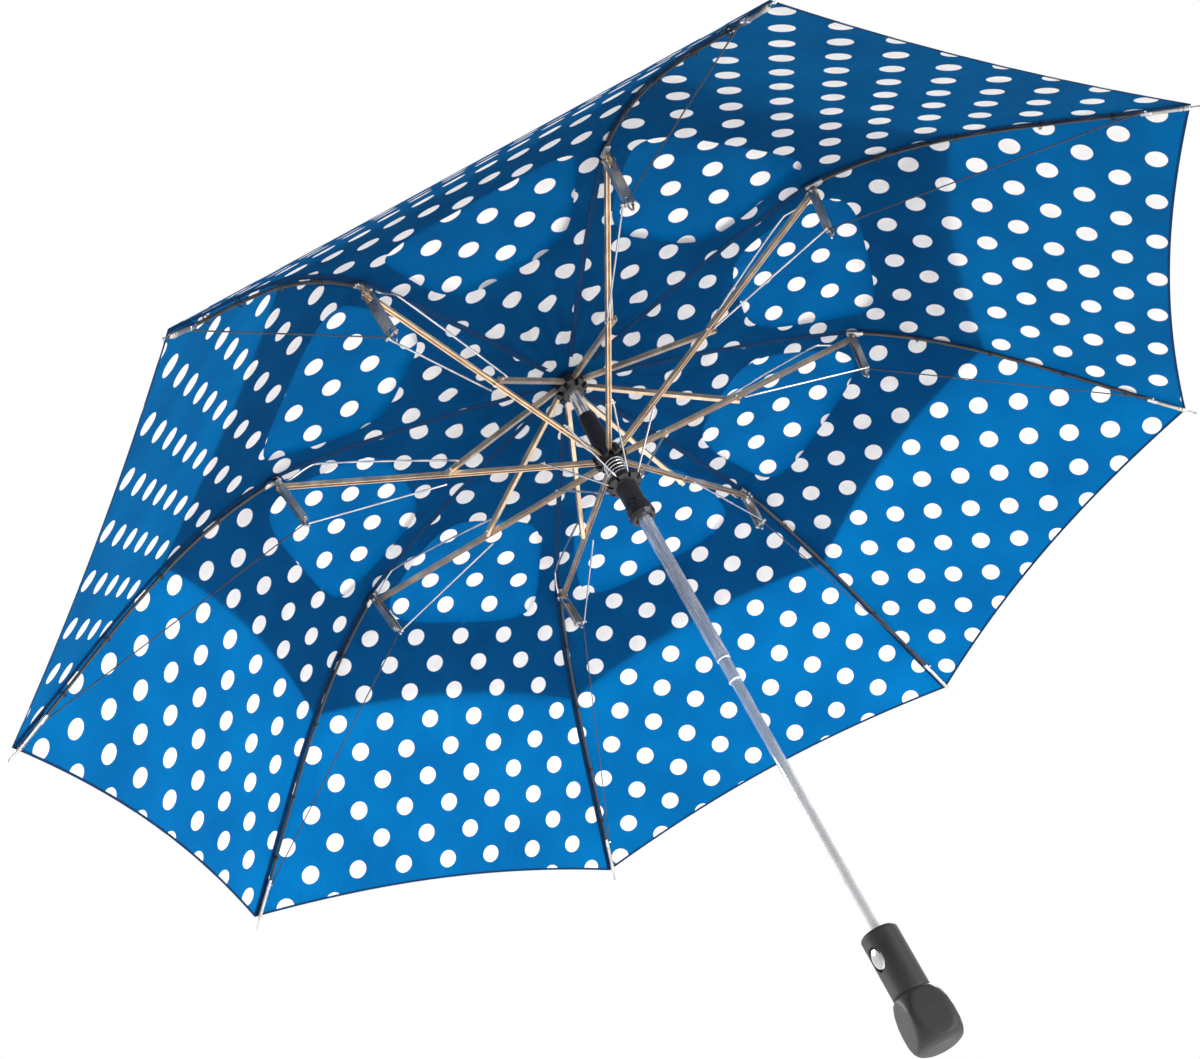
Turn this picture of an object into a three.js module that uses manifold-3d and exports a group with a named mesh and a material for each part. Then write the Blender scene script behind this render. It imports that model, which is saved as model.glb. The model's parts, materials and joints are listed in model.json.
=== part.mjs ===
// A folding umbrella, open: eight jointed arms, a double vented canopy, a two-stage shaft and a push-button
// handle. Millimetres, +Z up. The origin is the middle of the handle's flat end, on the shaft's axis, and
// arm 1 lies over +X. Each arm is drawn in its own frame: x outwards from the shaft, y sideways, z up.
import * as THREE from "three";
import { mergeVertices } from "three/addons/utils/BufferGeometryUtils.js";
import Module from "manifold-3d";

const wasm = await Module();
wasm.setup();

// Driving dimensions.
const ARMS = 8;
const GORE_ANGLE = (2 * Math.PI) / ARMS;
const GAP = 0.3;
const HANDLE_LENGTH = 84;
const NECK_RADIUS = 13.4;
const BULB_RADIUS = 20.6;
const HUB_Z = 611;
const RUNNER_Z = 528.6;
const COLLAR_Z = 500;
const PIVOT_RADIUS = 12;
const ELBOW = new THREE.Vector2(255.4, 586);
const TIP = new THREE.Vector2(490, 415.5);

// Shaft.
const TUBE_RADIUS = 5.5;
const TUBE_BORE = 5.0;
const TUBE_BOTTOM = 320;
const FERRULE_RADIUS = 4.7;
const FERRULE_BORE = 4.4;
const FERRULE_LENGTH = 34;
const FERRULE_SHOWING = 23;
const LOWER_RADIUS = 4.1;
const LOWER_BORE = 3.5;
const LOWER_TOP = 345;
const LOWER_BOTTOM = 50.3;

// Arm. The side lanes keep the links clear of each other as the arm folds.
const RIB_LANE = [0.4, 3.8];
const STRETCHER_LANE = [-3.8, -0.4];
const CHANNEL_HEIGHT = 4;
const CHANNEL_WALL = 0.7;
const CROSSING = 0.47;
const LINK_END = 4;
const ROD_SIDE = -2.1;
const ROD_RADIUS = 1.4;
const ROD_LIFT = 6.5;
const ROD_TAIL = 5;
const ROD_ANGLE = THREE.MathUtils.degToRad(-20);
const ROD_FAR_LIFT = 7.4;
const LUG_LANE = [0.0, 1.0];
const LEVER_LENGTH = 40;
const LEVER_LEAN = THREE.MathUtils.degToRad(11.5);
const LEVER_WIDTH = 5;
const LEVER_CHEEKS = [[-5.1, -4.1], [1.4, 2.4]];
const LINK_SIDE = -6.2;
const LINK_LENGTH = 116;
const LINK_RADIUS = 0.8;
const WIRE_SIDE = 1.9;
const WIRE_RADIUS = 0.8;
const WIRE_SHARE = 0.17;

// Canopy.
const CANOPY_CLEARANCE = 3.4;
const CLOTH = 0.8;
const CROWN_RADIUS = 6;
const CROWN_Z = HUB_Z + 7.4;
const CROWN_SLOPE = -0.035;
const ELBOW_SLOPE = -0.2;
const HEM_SAG = 14;
const HEM_POWER = 4;
const VENT_MIDDLE = 225;
const VENT_HALF_LENGTH = 60;
const VENT_HALF_SHARE = 0.78;
const VENT_SQUARENESS = 4;
const UPPER_LENGTH = 370;
const UPPER_SAG = 12;
const UPPER_LIFT = 2.2;
const UPPER_BILLOW = 5;

const COLOURS = {
  blackPlastic: { color: 0x1c1c1e, roughness: 0.5, metalness: 0 },
  softTouch: { color: 0x33342f, roughness: 0.6, metalness: 0 },
  chrome: { color: 0xc9cbd0, roughness: 0.18, metalness: 1 },
  steel: { color: 0xa89c8c, roughness: 0.35, metalness: 1 },
  bronzeSteel: { color: 0xb89a74, roughness: 0.4, metalness: 1 },
  fibreglass: { color: 0x3a332e, roughness: 0.4, metalness: 0 },
  cloth: { color: 0x0a6cb4, roughness: 0.8, metalness: 0 },
};

const umbrella = new THREE.Group();

function addMesh(parent, name, geometry, colour) {
  const mesh = new THREE.Mesh(geometry, new THREE.MeshStandardMaterial(COLOURS[colour]));
  mesh.name = name;
  parent.add(mesh);
  return mesh;
}

// The geometry as a closed solid that can be joined and cut.
function toSolid(geometry) {
  const bare = geometry.clone();
  bare.deleteAttribute("normal");
  bare.deleteAttribute("uv");
  const merged = mergeVertices(bare, 1e-4);
  const vertProperties = merged.attributes.position.array;
  const triVerts = new Uint32Array(merged.index.array);
  return new wasm.Manifold(new wasm.Mesh({ numProp: 3, vertProperties, triVerts }));
}

function toGeometry(solid) {
  const mesh = solid.getMesh();
  const geometry = new THREE.BufferGeometry();
  geometry.setAttribute("position", new THREE.BufferAttribute(new Float32Array(mesh.vertProperties), 3));
  geometry.setIndex(new THREE.BufferAttribute(new Uint32Array(mesh.triVerts), 1));
  geometry.computeVertexNormals();
  return geometry;
}

function join(...geometries) {
  return toGeometry(geometries.map(toSolid).reduce((sum, solid) => sum.add(solid)));
}

function cut(geometry, ...tools) {
  return toGeometry(tools.reduce((left, tool) => left.subtract(toSolid(tool)), toSolid(geometry)));
}

// A turned solid about Z from [radius, height] pairs, listed with the solid on their left.
function turned(profile, segments = 24) {
  const points = profile.map(([radius, height]) => new THREE.Vector2(radius, height));
  return new THREE.LatheGeometry(points, segments).rotateX(Math.PI / 2);
}

// A turned ring: the profile closes on itself.
function ring(profile, segments = 24) {
  return turned([...profile, profile[0]], segments);
}

function tube(outer, bore, bottom, top, segments = 24) {
  return ring([[bore, bottom], [outer, bottom], [outer, top], [bore, top]], segments);
}

function box(low, high) {
  const size = new THREE.Vector3().subVectors(high, low);
  const middle = new THREE.Vector3().addVectors(low, high).multiplyScalar(0.5);
  return new THREE.BoxGeometry(size.x, size.y, size.z).translate(middle.x, middle.y, middle.z);
}

// One box from the shaft outwards at each arm, for slots.
function slots(innerRadius, outerRadius, lane, low, high) {
  return Array.from({ length: ARMS }, (_, arm) =>
    box(new THREE.Vector3(innerRadius, lane[0], low), new THREE.Vector3(outerRadius, lane[1], high))
      .rotateZ(arm * GORE_ANGLE));
}

// A section drawn in (sideways, up) swept in a straight line from one (x, z) point of the arm to another.
function sweptStraight(section, from, to) {
  const along = new THREE.Vector2().subVectors(to, from);
  const length = along.length();
  along.divideScalar(length);
  const basis = new THREE.Matrix4().makeBasis(
    new THREE.Vector3(0, 1, 0),
    new THREE.Vector3(-along.y, 0, along.x),
    new THREE.Vector3(along.x, 0, along.y),
  );
  basis.setPosition(from.x, 0, from.y);
  return new THREE.ExtrudeGeometry(section, { depth: length, bevelEnabled: false }).applyMatrix4(basis);
}

// A U-shaped channel section across a lane; opening is 1 for open upwards and -1 for open downwards.
function channelSection([left, right], opening) {
  const half = CHANNEL_HEIGHT / 2;
  const floor = -half + CHANNEL_WALL;
  const outline = [
    [left, -half],
    [right, -half],
    [right, half],
    [right - CHANNEL_WALL, half],
    [right - CHANNEL_WALL, floor],
    [left + CHANNEL_WALL, floor],
    [left + CHANNEL_WALL, half],
    [left, half],
  ];
  const points = outline.map(([side, height]) => new THREE.Vector2(side, height * opening));
  return new THREE.Shape(opening > 0 ? points : points.reverse());
}

function roundSection(side, radius, sides = 8) {
  const shape = new THREE.Shape();
  for (let corner = 0; corner < sides; corner += 1) {
    const angle = (corner * 2 * Math.PI) / sides;
    const x = side + radius * Math.cos(angle);
    const y = radius * Math.sin(angle);
    if (corner === 0) shape.moveTo(x, y);
    else shape.lineTo(x, y);
  }
  return shape;
}

// A plate with round ends between two (x, z) points of the arm, filling a side lane.
function plate(from, to, width, [left, right]) {
  const angle = Math.atan2(to.y - from.y, to.x - from.x);
  const outline = new THREE.Shape();
  outline.absarc(to.x, to.y, width / 2, angle - Math.PI / 2, angle + Math.PI / 2, false);
  outline.absarc(from.x, from.y, width / 2, angle + Math.PI / 2, angle + 1.5 * Math.PI, false);
  const options = { depth: right - left, bevelEnabled: false, curveSegments: 3 };
  const flat = new THREE.ExtrudeGeometry(outline, options);
  return flat.rotateX(Math.PI / 2).translate(0, right, 0);
}

// The point a share of the way between two points, carried on past the second by an extra length.
function pointAlong(from, to, share, extra = 0) {
  const length = from.distanceTo(to);
  return new THREE.Vector2().lerpVectors(from, to, share + extra / length);
}

// The curve of a bowed rib: it leaves the start at an angle and lies a little above the chord near its end.
function bowedCurve(from, to, angle, farLift) {
  const chord = new THREE.Vector2().subVectors(to, from);
  const third = chord.length() / 3;
  const near = new THREE.Vector2(from.x + third * Math.cos(angle), from.y + third * Math.sin(angle));
  const up = new THREE.Vector2(-chord.y, chord.x).normalize();
  const far = new THREE.Vector2().addVectors(from, chord.multiplyScalar(2 / 3)).addScaledVector(up, farLift);
  return new THREE.CubicBezierCurve(from, near, far, to);
}

const HUB_PIVOT = new THREE.Vector2(PIVOT_RADIUS, HUB_Z);
const RUNNER_PIVOT = new THREE.Vector2(PIVOT_RADIUS, RUNNER_Z);
const COLLAR_PIVOT = new THREE.Vector2(PIVOT_RADIUS + 1, COLLAR_Z);
const CROSS_PIVOT = pointAlong(RUNNER_PIVOT, ELBOW, CROSSING);
const LEVER_FOOT = new THREE.Vector2(
  ELBOW.x - LEVER_LENGTH * Math.sin(LEVER_LEAN),
  ELBOW.y - LEVER_LENGTH * Math.cos(LEVER_LEAN),
);
const ROD_START = new THREE.Vector2(
  ELBOW.x - ROD_LIFT * Math.sin(ROD_ANGLE),
  ELBOW.y + ROD_LIFT * Math.cos(ROD_ANGLE),
);
const ROD_CURVE = bowedCurve(ROD_START, TIP, ROD_ANGLE, ROD_FAR_LIFT);
const ROD_LENGTH = ROD_CURVE.getLength();

// ---- Handle ----

function handleGrip() {
  const flatEnd = 12;
  const shoulder = 38;
  const groove = 0.5;
  const body = turned([
    [0, 0],
    [flatEnd, 0],
    [16, 1.6],
    [18.4, 5],
    [20, 10.5],
    [BULB_RADIUS, 18],
    [20.1, 25],
    [18.2, 31.5],
    [15.4, shoulder - 1.4],
    [NECK_RADIUS - groove, shoulder - 0.8],
    [NECK_RADIUS - groove, shoulder],
    [NECK_RADIUS, shoulder + 0.6],
    [NECK_RADIUS, HANDLE_LENGTH - 1.8],
    [NECK_RADIUS - 1.8, HANDLE_LENGTH],
    [0, HANDLE_LENGTH],
  ], 32);
  const facets = Array.from({ length: 4 }, (_, side) =>
    box(new THREE.Vector3(16, -30, 2), new THREE.Vector3(30, 30, shoulder - 1))
      .translate(0, 0, -18)
      .rotateY(-0.06)
      .translate(0, 0, 18)
      .rotateZ((side * Math.PI) / 2));
  const socket = turned([[0, 64], [6.3, 64], [6.3, 90], [0, 90]]);
  const tubeSeat = turned([[0, 50], [LOWER_RADIUS + GAP, 50], [LOWER_RADIUS + GAP, 70], [0, 70]]);
  return cut(body, ...facets, socket, tubeSeat, buttonWell());
}

// The push button and its well are oval, and face this way round the neck.
const BUTTON_AZIMUTH = THREE.MathUtils.degToRad(-70);
const BUTTON_Z = 66;
const BUTTON_HALF_WIDTH = 5.7;
const BUTTON_HALF_HEIGHT = 7.8;

function ovalPlug(grow, profile) {
  return turned(profile)
    .scale(BUTTON_HALF_WIDTH + grow, BUTTON_HALF_HEIGHT + grow, 1)
    .rotateX(Math.PI / 2)
    .rotateZ(Math.PI / 2)
    .rotateZ(BUTTON_AZIMUTH)
    .translate(0, 0, BUTTON_Z);
}

function buttonWell() {
  return ovalPlug(GAP + 0.2, [[0, 7.7], [1, 7.7], [1, 16], [0, 16]]);
}

function pushButton() {
  return ovalPlug(0, [[0, 10.3], [1, 10.3], [1, 11.6], [0.86, 12.6], [0.5, 13.3], [0, 13.5]]);
}

addMesh(umbrella, "handle_grip", handleGrip(), "softTouch");
addMesh(umbrella, "push_button", pushButton(), "chrome");

// ---- Shaft ----

function fluted(outer, bore, bottom, top) {
  const flutes = 8;
  const depth = 0.35;
  const steps = flutes * 4;
  const outline = new THREE.Shape();
  for (let step = 0; step < steps; step += 1) {
    const angle = (step * 2 * Math.PI) / steps;
    const radius = outer - (step % 4 === 0 ? depth : 0);
    const x = radius * Math.cos(angle);
    const y = radius * Math.sin(angle);
    if (step === 0) outline.moveTo(x, y);
    else outline.lineTo(x, y);
  }
  const hole = new THREE.Path();
  hole.absarc(0, 0, bore, 0, 2 * Math.PI, true);
  outline.holes.push(hole);
  const options = { depth: top - bottom, bevelEnabled: false, curveSegments: 12 };
  return new THREE.ExtrudeGeometry(outline, options).translate(0, 0, bottom);
}

function ferrule() {
  const bottom = TUBE_BOTTOM - FERRULE_SHOWING;
  const top = bottom + FERRULE_LENGTH;
  const bead = FERRULE_RADIUS + 0.6;
  return ring([
    [FERRULE_BORE, bottom],
    [FERRULE_RADIUS, bottom],
    [bead, bottom + 0.8],
    [bead, bottom + 1.8],
    [FERRULE_RADIUS, bottom + 2.6],
    [FERRULE_RADIUS, TUBE_BOTTOM - 3],
    [bead, TUBE_BOTTOM - 2.2],
    [bead, TUBE_BOTTOM - 0.5],
    [FERRULE_RADIUS, TUBE_BOTTOM - GAP],
    [FERRULE_RADIUS, top],
    [FERRULE_BORE, top],
  ]);
}

addMesh(umbrella, "lower_tube", tube(LOWER_RADIUS, LOWER_BORE, LOWER_BOTTOM, LOWER_TOP), "chrome");
addMesh(umbrella, "tube_ferrule", ferrule(), "chrome");
addMesh(umbrella, "top_tube", fluted(TUBE_RADIUS, TUBE_BORE, TUBE_BOTTOM, HUB_Z + 3), "chrome");

// ---- Hub, runner and assist collar ----

function topNotch() {
  const bore = TUBE_RADIUS + GAP;
  const disc = ring([
    [bore, HUB_Z - 8],
    [9, HUB_Z - 8],
    [11, HUB_Z - 5.5],
    [14, HUB_Z - 4],
    [14, HUB_Z + 4.2],
    [12.4, HUB_Z + 5.6],
    [3.4, HUB_Z + 5.6],
    [3.4, HUB_Z + 3.6],
    [bore, HUB_Z + 3.6],
  ]);
  return cut(disc, ...slots(9, 20, [RIB_LANE[0] - 0.35, RIB_LANE[1] + 0.35], HUB_Z - 10, HUB_Z + 4));
}

function topCap() {
  const seat = CROWN_Z + CLOTH * 2 + UPPER_LIFT + 0.8;
  return turned([
    [0, HUB_Z + 4.2],
    [3.1, HUB_Z + 4.2],
    [3.1, seat],
    [13, seat],
    [13, seat + 1],
    [8, seat + 2.4],
    [6.2, seat + 6],
    [5.6, seat + 11],
    [3.6, seat + 13.2],
    [0, seat + 14],
  ]);
}

const SLEEVE_BORE = TUBE_RADIUS + 0.35;
const SLEEVE_RADIUS = 6.7;

function runner() {
  const body = ring([
    [SLEEVE_BORE, COLLAR_Z - 36],
    [SLEEVE_RADIUS, COLLAR_Z - 36],
    [SLEEVE_RADIUS, RUNNER_Z - 5.5],
    [11, RUNNER_Z - 5.5],
    [14, RUNNER_Z - 4],
    [14, RUNNER_Z + 4],
    [11, RUNNER_Z + 5.5],
    [8.6, RUNNER_Z + 6],
    [8.4, RUNNER_Z + 12],
    [7.4, RUNNER_Z + 46],
    [6.9, RUNNER_Z + 48],
    [SLEEVE_BORE, RUNNER_Z + 48],
  ]);
  const lane = [STRETCHER_LANE[0] - 0.35, STRETCHER_LANE[1] + 0.35];
  const wireLane = [WIRE_SIDE - WIRE_RADIUS - 0.35, WIRE_SIDE + WIRE_RADIUS + 0.35];
  return cut(
    body,
    ...slots(9.1, 20, lane, RUNNER_Z - 8, RUNNER_Z + 8),
    ...slots(11.8, 20, wireLane, RUNNER_Z - 8, RUNNER_Z + 8),
  );
}

function assistCollar() {
  const bore = SLEEVE_RADIUS + GAP;
  const body = ring([
    [bore, COLLAR_Z - 39],
    [9.4, COLLAR_Z - 39],
    [11, COLLAR_Z - 36],
    [10.2, COLLAR_Z - 25.5],
    [9, COLLAR_Z - 24.5],
    [9, COLLAR_Z - 4.5],
    [12.4, COLLAR_Z - 3.6],
    [14.6, COLLAR_Z - 2],
    [14.6, COLLAR_Z + 2],
    [13, COLLAR_Z + 3],
    [bore, COLLAR_Z + 3],
  ]);
  const lane = [WIRE_SIDE - WIRE_RADIUS - 0.35, WIRE_SIDE + WIRE_RADIUS + 0.35];
  return cut(body, ...slots(10.8, 20, lane, COLLAR_Z - 6, COLLAR_Z + 6));
}

class Helix extends THREE.Curve {
  constructor(radius, bottom, top, turns) {
    super();
    Object.assign(this, { radius, bottom, top, turns });
  }

  getPoint(share, target = new THREE.Vector3()) {
    const angle = 2 * Math.PI * this.turns * share;
    const height = this.bottom + (this.top - this.bottom) * share;
    return target.set(this.radius * Math.cos(angle), this.radius * Math.sin(angle), height);
  }
}

function runnerSpring() {
  const turns = 5;
  const wire = 0.65;
  const extrudePath = new Helix(SLEEVE_RADIUS + 1.5, COLLAR_Z + 4.3, RUNNER_Z - 6.8, turns);
  const options = { steps: turns * 12, extrudePath, bevelEnabled: false };
  return new THREE.ExtrudeGeometry(roundSection(0, wire, 5), options);
}

addMesh(umbrella, "top_notch", topNotch(), "blackPlastic");
addMesh(umbrella, "top_cap", topCap(), "blackPlastic");
addMesh(umbrella, "runner", runner(), "blackPlastic");
addMesh(umbrella, "assist_collar", assistCollar(), "blackPlastic");
addMesh(umbrella, "runner_spring", runnerSpring(), "chrome");

// ---- Arms ----

function innerRib() {
  const end = pointAlong(HUB_PIVOT, CROSS_PIVOT, 1, LINK_END);
  const start = pointAlong(HUB_PIVOT, CROSS_PIVOT, 0, -1.4);
  return sweptStraight(channelSection(RIB_LANE, 1), start, end);
}

function stretcher() {
  const end = pointAlong(RUNNER_PIVOT, ELBOW, 1, 3);
  const start = pointAlong(RUNNER_PIVOT, ELBOW, 0, -1.4);
  return sweptStraight(channelSection(STRETCHER_LANE, -1), start, end);
}

// A curve of the arm's plane, carried back a little before its start, at one side of the arm.
class RodPath extends THREE.Curve {
  constructor(curve, tail, side) {
    super();
    Object.assign(this, { curve, tail, side });
  }

  getPoint(share, target = new THREE.Vector3()) {
    const point = this.curve.getPoint(share * (1 + this.tail) - this.tail);
    return target.set(point.x, this.side, point.y);
  }
}

function outerRib() {
  const extrudePath = new RodPath(ROD_CURVE, ROD_TAIL / ROD_LENGTH, ROD_SIDE);
  const rod = new THREE.ExtrudeGeometry(roundSection(0, ROD_RADIUS, 6), {
    steps: 11,
    extrudePath,
    bevelEnabled: false,
  });
  const lug = plate(ELBOW, ROD_START, 4.6, LUG_LANE);
  const saddle = box(
    new THREE.Vector3(-4, ROD_SIDE, ROD_LIFT - 0.7),
    new THREE.Vector3(6, LUG_LANE[1], ROD_LIFT + 0.9),
  )
    .rotateY(-ROD_ANGLE)
    .translate(ELBOW.x, 0, ELBOW.y);
  return join(rod, lug, saddle);
}

function elbowLever() {
  const cheeks = LEVER_CHEEKS.map((lane) => plate(ELBOW, LEVER_FOOT, LEVER_WIDTH, lane));
  const web = box(
    new THREE.Vector3(LEVER_WIDTH / 2 - 0.9, LEVER_CHEEKS[0][0], -LEVER_LENGTH + 4),
    new THREE.Vector3(LEVER_WIDTH / 2, LEVER_CHEEKS[1][1], -9),
  );
  return join(...cheeks, web.rotateY(LEVER_LEAN).translate(ELBOW.x, 0, ELBOW.y));
}

function linkRod() {
  const away = new THREE.Vector2(LEVER_FOOT.x - LINK_LENGTH, LEVER_FOOT.y + 2.7);
  return sweptStraight(roundSection(LINK_SIDE, LINK_RADIUS), LEVER_FOOT, away);
}

function assistWire() {
  const hook = pointAlong(RUNNER_PIVOT, ELBOW, WIRE_SHARE);
  return sweptStraight(roundSection(WIRE_SIDE, WIRE_RADIUS, 6), COLLAR_PIVOT, hook);
}

for (let arm = 0; arm < ARMS; arm += 1) {
  const group = new THREE.Group();
  group.rotation.z = arm * GORE_ANGLE;
  umbrella.add(group);
  addMesh(group, `inner_rib_${arm + 1}`, innerRib(), "bronzeSteel");
  addMesh(group, `stretcher_${arm + 1}`, stretcher(), "bronzeSteel");
  addMesh(group, `outer_rib_${arm + 1}`, outerRib(), "fibreglass");
  addMesh(group, `elbow_lever_${arm + 1}`, elbowLever(), "steel");
  addMesh(group, `link_rod_${arm + 1}`, linkRod(), "chrome");
  addMesh(group, `assist_wire_${arm + 1}`, assistWire(), "chrome");
}

// ---- Canopy ----

// The rib line runs from the crown to the tips: a smooth curve to the elbow, then a line just above the bowed
// rib. Lengths along it are in millimetres from the crown, measured level to the elbow and then on the chord.
function aboveRod(share, clearance) {
  const point = ROD_CURVE.getPoint(share);
  const tangent = ROD_CURVE.getTangent(share);
  return new THREE.Vector2(point.x - tangent.y * clearance, point.y + tangent.x * clearance);
}

const CLOTH_ELBOW = aboveRod(0, CANOPY_CLEARANCE);
const INNER_LENGTH = CLOTH_ELBOW.x - CROWN_RADIUS;
const OUTER_LENGTH = CLOTH_ELBOW.distanceTo(aboveRod(1, CANOPY_CLEARANCE));
const RIB_LENGTH = INNER_LENGTH + OUTER_LENGTH;

function ribLine(length, lift) {
  if (length > INNER_LENGTH) return aboveRod((length - INNER_LENGTH) / OUTER_LENGTH, CANOPY_CLEARANCE + lift);
  const t = length / INNER_LENGTH;
  const z = (2 * t ** 3 - 3 * t ** 2 + 1) * CROWN_Z
    + (t ** 3 - 2 * t ** 2 + t) * INNER_LENGTH * CROWN_SLOPE
    + (3 * t ** 2 - 2 * t ** 3) * CLOTH_ELBOW.y
    + (t ** 3 - t ** 2) * INNER_LENGTH * ELBOW_SLOPE;
  const x = CROWN_RADIUS + length;
  return new THREE.Vector2(x - lift * Math.sin(ROD_ANGLE), z + lift * Math.cos(ROD_ANGLE));
}

// A point of the cloth between rib line `gore` and the next, at across = -1 to 1, lifted off the rib line.
// The hem scoops inwards between the ribs.
function clothPoint(gore, length, across, lift, hem) {
  const scoop = hem.sag * (1 - across ** 2) * (length / hem.length) ** HEM_POWER;
  const rib = ribLine(length - scoop, lift);
  const left = gore * GORE_ANGLE;
  const right = left + GORE_ANGLE;
  const share = (across + 1) / 2;
  return new THREE.Vector3(
    rib.x * (Math.cos(left) * (1 - share) + Math.cos(right) * share),
    rib.x * (Math.sin(left) * (1 - share) + Math.sin(right) * share),
    rib.y,
  );
}

// Collects the two faces of a cloth and the walls round its edges, from quads of four corner functions.
class ClothBuilder {
  constructor() {
    this.positions = [];
  }

  triangle(a, b, c) {
    for (const point of [a, b, c]) this.positions.push(point.x, point.y, point.z);
  }

  // Corners run anticlockwise seen from above; at(corner, side) gives the lower (0) or upper (1) point.
  // Both faces are split along the same diagonal, so a twisted panel keeps its thickness.
  panel(at, a, b, c, d) {
    for (const [first, second, third] of [[a, b, c], [a, c, d]]) {
      this.triangle(at(first, 1), at(second, 1), at(third, 1));
      this.triangle(at(third, 0), at(second, 0), at(first, 0));
    }
  }

  // A wall along a free edge from a to b, with the cloth on the left seen from above.
  wall(at, a, b) {
    this.triangle(at(a, 0), at(b, 0), at(b, 1));
    this.triangle(at(a, 0), at(b, 1), at(a, 1));
  }

  geometry() {
    const geometry = new THREE.BufferGeometry();
    geometry.setAttribute("position", new THREE.Float32BufferAttribute(this.positions, 3));
    return toGeometry(toSolid(geometry));
  }
}

// The main canopy: each gore is meshed in rings from its border to its vent.
function canopyGeometry() {
  const alongInner = 6;
  const alongOuter = 8;
  const acrossHem = 4;
  const acrossCrown = 2;
  const rings = [0, 0.5, 1];
  const up = [];
  for (let i = 0; i < alongInner; i += 1) up.push((i / alongInner) * INNER_LENGTH);
  for (let i = 0; i <= alongOuter; i += 1) up.push(INNER_LENGTH + (i / alongOuter) * OUTER_LENGTH);
  const border = [];
  for (const length of up.slice(0, -1)) border.push([length, -1]);
  for (let i = 0; i < acrossHem; i += 1) border.push([RIB_LENGTH, -1 + (2 * i) / acrossHem]);
  for (const length of up.slice(1).reverse()) border.push([length, 1]);
  for (let i = 0; i < acrossCrown; i += 1) border.push([0, 1 - (2 * i) / acrossCrown]);

  const vent = border.map(([length, across]) => {
    const reach = length > VENT_MIDDLE ? RIB_LENGTH - VENT_MIDDLE : VENT_MIDDLE;
    const u = (length - VENT_MIDDLE) / reach;
    const powers = Math.abs(u) ** VENT_SQUARENESS + Math.abs(across) ** VENT_SQUARENESS;
    const size = powers ** (1 / VENT_SQUARENESS);
    return [VENT_MIDDLE + (VENT_HALF_LENGTH * u) / size, (VENT_HALF_SHARE * across) / size];
  });

  const lowerHem = { length: RIB_LENGTH, sag: HEM_SAG };
  const cloth = new ClothBuilder();
  for (let gore = 0; gore < ARMS; gore += 1) {
    const at = ([length, across], side) => clothPoint(gore, length, across, side * CLOTH, lowerHem);
    const mix = (i, share) => [0, 1].map((n) => border[i][n] * (1 - share) + vent[i][n] * share);
    border.forEach((_, i) => {
      const next = (i + 1) % border.length;
      for (let level = 0; level + 1 < rings.length; level += 1) {
        const [outer, inner] = [rings[level], rings[level + 1]];
        cloth.panel(at, mix(i, outer), mix(next, outer), mix(next, inner), mix(i, inner));
      }
      cloth.wall(at, vent[next], vent[i]);
      const onHem = border[i][0] === RIB_LENGTH && border[next][0] === RIB_LENGTH;
      const onCrown = border[i][0] === 0 && border[next][0] === 0;
      if (onHem || onCrown) cloth.wall(at, border[i], border[next]);
    });
  }
  return cloth.geometry();
}

// The upper canopy: a plain grid, lifted off the lower one and billowing between the ribs.
function ventCanopyGeometry() {
  const along = 9;
  const across = 4;
  const upperHem = { length: UPPER_LENGTH, sag: UPPER_SAG };
  const cloth = new ClothBuilder();
  for (let gore = 0; gore < ARMS; gore += 1) {
    const at = ([i, j], side) => {
      const length = (i / along) * UPPER_LENGTH;
      const place = -1 + (2 * j) / across;
      const billow = UPPER_BILLOW * (1 - place ** 2) * Math.sin((Math.PI / 2) * (length / UPPER_LENGTH));
      return clothPoint(gore, length, place, CLOTH + UPPER_LIFT + billow + side * CLOTH, upperHem);
    };
    for (let j = 0; j < across; j += 1) {
      for (let i = 0; i < along; i += 1) cloth.panel(at, [i, j], [i + 1, j], [i + 1, j + 1], [i, j + 1]);
      cloth.wall(at, [along, j], [along, j + 1]);
      cloth.wall(at, [0, j + 1], [0, j]);
    }
  }
  return cloth.geometry();
}

addMesh(umbrella, "canopy", canopyGeometry(), "cloth");
addMesh(umbrella, "vent_canopy", ventCanopyGeometry(), "cloth");

export default umbrella;
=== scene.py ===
"""Looks of an open folding umbrella.

It has eight jointed arms, a double canopy with vents, a telescoping shaft and a handle. Metres, +Z up, in the
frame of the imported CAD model. Each arm is drawn in its own plane, arm 1 over +X: x outwards from the shaft,
y sideways, z up. turned_by() then turns it to its arm.
"""

import json
import math

import bpy
import numpy as np
from mathutils import Matrix, Vector


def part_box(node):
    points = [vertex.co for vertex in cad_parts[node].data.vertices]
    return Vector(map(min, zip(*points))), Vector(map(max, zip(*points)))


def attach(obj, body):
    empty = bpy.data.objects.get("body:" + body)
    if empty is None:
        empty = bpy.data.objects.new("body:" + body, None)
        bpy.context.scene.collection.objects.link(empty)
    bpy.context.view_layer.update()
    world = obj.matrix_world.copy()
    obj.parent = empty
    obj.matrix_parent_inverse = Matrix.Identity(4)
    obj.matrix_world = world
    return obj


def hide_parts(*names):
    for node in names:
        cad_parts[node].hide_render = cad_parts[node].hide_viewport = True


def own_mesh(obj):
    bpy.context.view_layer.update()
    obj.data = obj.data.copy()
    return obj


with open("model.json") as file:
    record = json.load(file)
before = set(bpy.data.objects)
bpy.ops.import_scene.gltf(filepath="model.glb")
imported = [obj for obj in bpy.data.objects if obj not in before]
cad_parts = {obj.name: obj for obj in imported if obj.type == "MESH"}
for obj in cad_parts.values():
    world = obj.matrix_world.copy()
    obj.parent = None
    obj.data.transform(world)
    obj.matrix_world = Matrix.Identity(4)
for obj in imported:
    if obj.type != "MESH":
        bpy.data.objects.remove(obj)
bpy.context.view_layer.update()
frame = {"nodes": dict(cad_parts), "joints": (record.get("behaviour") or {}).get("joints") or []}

MM = 0.001
ARMS = 8
STEP = 2 * math.pi / ARMS
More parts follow.
